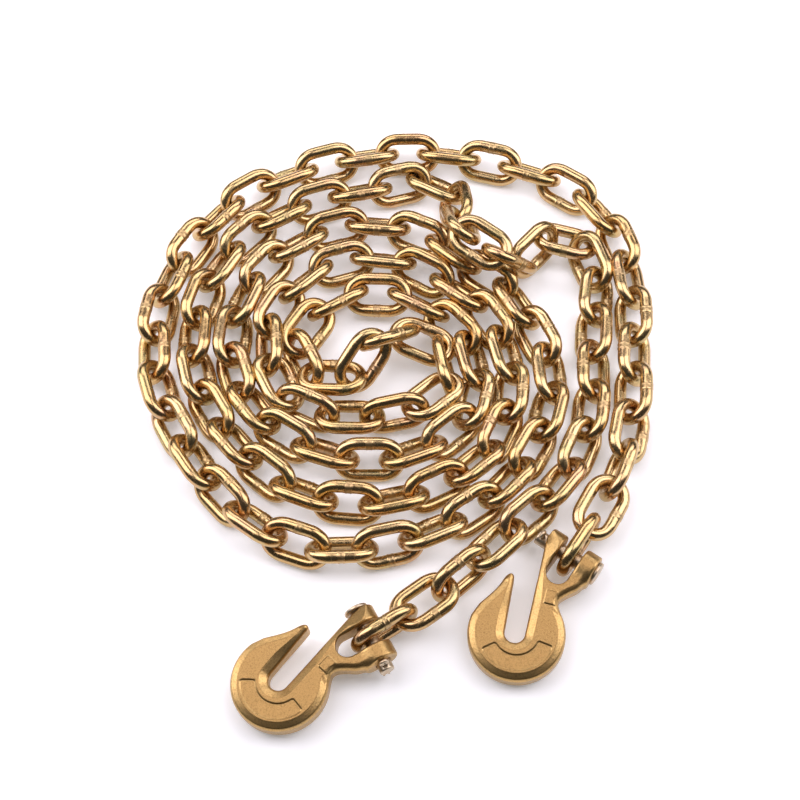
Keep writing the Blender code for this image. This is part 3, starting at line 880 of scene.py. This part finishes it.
def hook_field(x, y, z):
    rise = np.abs(z)
    outer = outline_distance(x + 0 * y, y + 0 * x, OUTER)
    height = face_height(x, y)
    qx, qz = outer + RIM_ROUND, rise - height + RIM_ROUND
    plate = np.minimum(np.maximum(qx, qz), 0) + np.hypot(np.maximum(qx, 0), np.maximum(qz, 0)) - RIM_ROUND
    bowl_side = 1 - smooth_step(x, 24, 40)
    rim = (rise - HALF_T + RIM_SLOPE * (outer + RIM_WIDTH)) - 12 * (1 - bowl_side)
    body = np.maximum(plate, rim / math.hypot(1, RIM_SLOPE))
    boss = np.hypot(x - PIN_X, z) - BOSS_R
    reach = np.abs(y) - EAR_OUTER_Y - 0.2
    boss = fillet_max(boss, reach, 1.6)
    body = fillet_min(body, boss, 5.0)
    along, across = slot_place(x, y)
    slot = slot_distance(x, y)
    lip = LIP_WIDTH - np.where(across > 0, 2.6 * smooth_step(along, 8, 30), 2.0 * smooth_step(along, 20, 44))
    lips = (rise - HALF_T + LIP_SLOPE * (lip - slot)) / math.hypot(1, LIP_SLOPE)
    body = np.maximum(body, lips)
    body = fillet_max(body, -slot, 1.6)
    mouth = np.maximum(TIP_END - along, -SLOT_HALF_W + 1.0 - across)
    body = fillet_max(body, -mouth, 3.0)
    gap = np.hypot(np.minimum(x - GAP_BOTTOM_X, 0), y) - GAP_HALF_W
    body = fillet_max(body, -gap, 1.8)
    bore = np.hypot(x - PIN_X, z) - BORE_R
    return fillet_max(body, -bore, 0.5)


HOOK_LOW, HOOK_HIGH = (-BOWL_R, -BOWL_R, -BOSS_R), (PIN_X + BOSS_R, BOWL_R, BOSS_R)
HOOK_STEP = 0.5
hook_mesh = surface_net("forged_hook", hook_field, HOOK_LOW, HOOK_HIGH, HOOK_STEP, materials["hook"])

# %% [markdown]
# ## The clevis pin
# The pin is turned with a flat head, and it is drilled across beyond the far ear for its cotter.
# It is a body of rings, so its field is the distance to a profile in radius and length.

# %% Pin field
PIN_R = 4.9
HEAD_R = 7.9
HEAD_SEAT = EAR_OUTER_Y + 0.2 + 0.35
HEAD_T = 2.6
PIN_END = 25.0
COTTER_Y = 21.4
COTTER_HOLE_R = 1.7


def pin_field(x, y, z):
    radius = np.hypot(x, z)
    shank = fillet_max(radius - PIN_R, np.abs(y - (PIN_END - HEAD_SEAT) / 2) - (PIN_END + HEAD_SEAT) / 2, 1.2)
    middle = -HEAD_SEAT - HEAD_T / 2
    crown = 0.35 * (radius / HEAD_R) ** 2
    head = fillet_max(radius - HEAD_R, np.abs(y - middle) - HEAD_T / 2 + np.where(y < middle, crown, 0), 0.8)
    hole = np.hypot(x, y - COTTER_Y) - COTTER_HOLE_R
    return fillet_max(fillet_min(shank, head, 0.6), -hole, 0.5)


pin_mesh = surface_net("clevis_pin", pin_field, (-HEAD_R, -HEAD_SEAT - HEAD_T, -HEAD_R),
                       (HEAD_R, PIN_END, HEAD_R), 0.3, materials["pin"])

# %% [markdown]
# ## The cotter
# A cotter is half-round wire folded into an eye, so that its two flat sides meet in one round
# leg. The legs go through the pin and are bent apart. Its field is the distance to the line of
# the wire, with a thinner line for each of the two legs.

# %% Cotter field
WIRE_R = 1.25
EYE_R = 2.3
EYE_RISE = PIN_R + 4.2


def chain_distance(points, x, y, z):
    """How far points are from a line through the given points."""
    near = np.full(np.broadcast_shapes(x.shape, y.shape, z.shape), 1e9)
    for a, b in zip(points, points[1:]):
        dx, dy, dz = np.array(b, float) - np.array(a, float)
        long = dx * dx + dy * dy + dz * dz
        t = np.clip(((x - a[0]) * dx + (y - a[1]) * dy + (z - a[2]) * dz) / long, 0, 1)
        near = np.minimum(near, np.sqrt((x - a[0] - t * dx) ** 2 + (y - a[1] - t * dy) ** 2
                                        + (z - a[2] - t * dz) ** 2))
    return near


def cotter_field(x, y, z):
    eye = [(EYE_R * math.sin(a), 0, EYE_RISE + EYE_R * math.cos(a)) for a in np.linspace(-2.6, 2.6, 17)]
    loop = chain_distance(eye, x, y, z) - WIRE_R * 0.92
    field = loop
    for sign, tip in ((1, (2.6, 1.9, -PIN_R - 3.6)), (-1, (-0.6, 2.0, -PIN_R - 4.0))):
        leg = [(sign * 1.1, 0, EYE_RISE - 1.9), (sign * 0.62, 0, PIN_R + 1.2),
               (sign * 0.62, 0, -PIN_R - 1.2), tip]
        half = chain_distance(leg, x, y, z) - WIRE_R * 0.62
        field = fillet_min(field, half, 0.25)
    return field


cotter_mesh = surface_net("cotter_pin", cotter_field, (-4.6, -2.6, -PIN_R - 5.2), (4.6, 3.2, EYE_RISE + 3.8),
                          0.2, materials["pin"])

# %% [markdown]
# ## Pinning a hook to each end
# The hook hangs on the last link by its pin: the link's end stands on edge in the clevis, the
# pin lies against the inside of its crown, and the bowl has come down on the table. The left pin
# went in from the other side, so its head is on the other ear.

# %% Place the hooks and pins
PIN_TO_BAR = PIN_R * MM + BAR_R + 0.3 * MM
HOOK_YAW = {"right": math.radians(-2), "left": math.radians(-6)}
PIN_TURNED = {"right": 0.0, "left": math.pi}
RIM_BEVEL = 3.0


def hook_place(link, inward, yaw):
    """Where the hook lies: its pin through the last link, its bowl on the table."""
    pull = link.to_3x3().col[0] * inward
    pin = link.translation - pull * BAR_SPAN / 2 + pull * PIN_TO_BAR
    level_pull = Matrix.Rotation(yaw, 3, "Z") @ Vector((pull.x, pull.y, 0)).normalized()
    across = Vector((0, 0, 1)).cross(level_pull)
    pitch = math.asin((pin.z / MM - HALF_T) / (PIN_X + BOWL_R - RIM_BEVEL))
    along = level_pull * math.cos(pitch) + Vector((0, 0, math.sin(pitch)))
    return axes_matrix(along, across, along.cross(across), pin - along * PIN_X * MM)


def add_piece(name, mesh, matrix, body, node):
    piece = bpy.data.objects.new(name, mesh)
    bpy.context.scene.collection.objects.link(piece)
    piece.matrix_world = matrix
    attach(piece, body)
    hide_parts(node)
    return piece


for side, link, inward in (("right", frames[0], 1), ("left", frames[-1], -1)):
    place = hook_place(link, inward, HOOK_YAW[side])
    turned = place @ Matrix.Translation((PIN_X * MM, 0, 0)) @ Matrix.Rotation(PIN_TURNED[side], 4, "Z")
    add_piece(f"forged_{side}_hook", hook_mesh, place, f"{side}_hook", f"{side}_hook")
    add_piece(f"turned_{side}_pin", pin_mesh, turned, f"{side}_pin", f"{side}_clevis_pin")
    add_piece(f"folded_{side}_cotter", cotter_mesh, turned @ Matrix.Translation((0, COTTER_Y * MM, 0)),
              f"{side}_pin", f"{side}_cotter_pin")
print("hooks, pins and cotters placed")

# %% [markdown]
# ## The table and the light
# Bright metal shows what it reflects. Two long soft lamps, one on each side, and a third behind
# the chain leave cream bands along every bar with a dark one between them. The white table glows
# a little, as a sheet of opal plastic lit from below does, so the shadows between the links stay
# pale.

# %% Table
def table_finish():
    finish = Finish("white_table", Roughness=0.7)
    finish.set(Base_Color=colour(0.93, 0.93, 0.93))
    finish.surface.inputs["Specular IOR Level"].default_value = 0.2
    finish.surface.inputs["Emission Color"].default_value = colour(1.0, 1.0, 1.0)
    finish.surface.inputs["Emission Strength"].default_value = 0.22
    return finish.material


TABLE_SIZE = 6.0
table_mesh = bpy.data.meshes.new("table")
half = TABLE_SIZE / 2
corners = [(-half, -half, 0), (half, -half, 0), (half, half, 0), (-half, half, 0)]
table_mesh.from_pydata(corners, [], [(0, 1, 2, 3)])
table_mesh.materials.append(table_finish())
table = bpy.data.objects.new("table", table_mesh)
bpy.context.scene.collection.objects.link(table)


# %% Lamps
def lamp(name, place, size, power, tint=(1.0, 0.96, 1.04)):
    """A rectangular soft lamp that faces the chain."""
    light = bpy.data.lights.new(name, "AREA")
    light.shape = "RECTANGLE"
    light.size, light.size_y = size
    light.energy = power
    light.color = tint
    holder = bpy.data.objects.new(name, light)
    holder.location = place
    holder.rotation_euler = (TABLE_CENTRE - Vector(place)).to_track_quat("-Z", "Y").to_euler()
    bpy.context.scene.collection.objects.link(holder)


lamp("left_lamp", (-0.85, 0.20, 0.95), (0.80, 1.8), 15.5)
lamp("right_lamp", (0.85, 0.15, 0.95), (0.80, 1.8), 14.0)
lamp("back_lamp", (0.0, 1.15, 1.0), (1.8, 0.60), 10.5)
world = bpy.data.worlds.new("studio")
world.use_nodes = True
world.node_tree.nodes["Background"].inputs["Color"].default_value = colour(0.95, 0.97, 1.0)
world.node_tree.nodes["Background"].inputs["Strength"].default_value = 0.05
bpy.context.scene.world = world
bpy.context.scene.view_settings.view_transform = "Standard"
print("table and", len(bpy.data.lights), "lamps")
